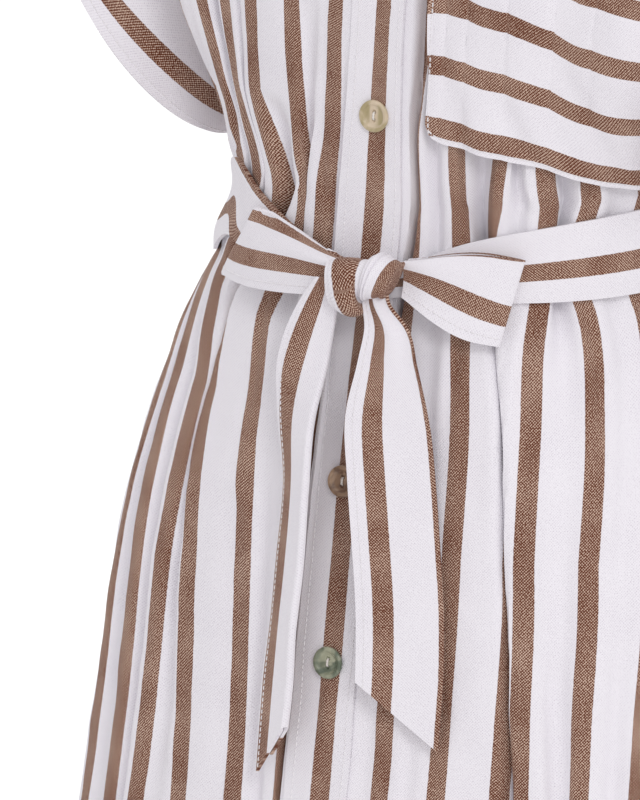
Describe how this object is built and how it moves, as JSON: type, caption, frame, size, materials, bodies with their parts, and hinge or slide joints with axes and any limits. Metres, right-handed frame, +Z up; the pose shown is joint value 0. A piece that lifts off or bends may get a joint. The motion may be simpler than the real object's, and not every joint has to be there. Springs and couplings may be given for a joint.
{
  "type": "striped shirt dress with a tied belt, in the form it has when it is worn",
  "caption": "Knee-length striped shirt dress with collar, button placket, chest pocket, short sleeves and a belt tied in a bow, hollow and open as when worn.",
  "frame": {"origin": "middle of the neck opening, at the height of the high shoulder points, where the wearer holds the dress up", "axes": "+Z up, the front faces -Y, and the wearer's left side is +X"},
  "size_m": [0.4748, 0.2726, 1.1031],
  "materials": {
    "dress_cloth": "matt cotton weave, off-white with red-brown warp stripes",
    "pocket_cloth": "matt cotton weave, off-white with red-brown cross stripes",
    "belt_cloth": "matt cotton weave, off-white with red-brown lengthwise stripes",
    "button_shell": "satin, like smoked mother-of-pearl"
  },
  "bodies": {
    "root": {"front_right": "dress_cloth", "front_left": "dress_cloth", "back": "dress_cloth", "placket": "dress_cloth", "pocket": "pocket_cloth", "sleeve_right": "dress_cloth", "sleeve_left": "dress_cloth", "collar_stand": "dress_cloth", "collar_fall": "dress_cloth", "button_01": "button_shell", "button_02": "button_shell", "button_03": "button_shell", "button_04": "button_shell", "button_05": "button_shell", "button_06": "button_shell", "button_07": "button_shell", "button_08": "button_shell", "button_09": "button_shell", "button_10": "button_shell", "belt_band": "belt_cloth", "belt_knot": "belt_cloth", "loop_right": "belt_cloth", "loop_left": "belt_cloth", "tail_right": "belt_cloth", "tail_left": "belt_cloth"}
  },
  "joints": []
}
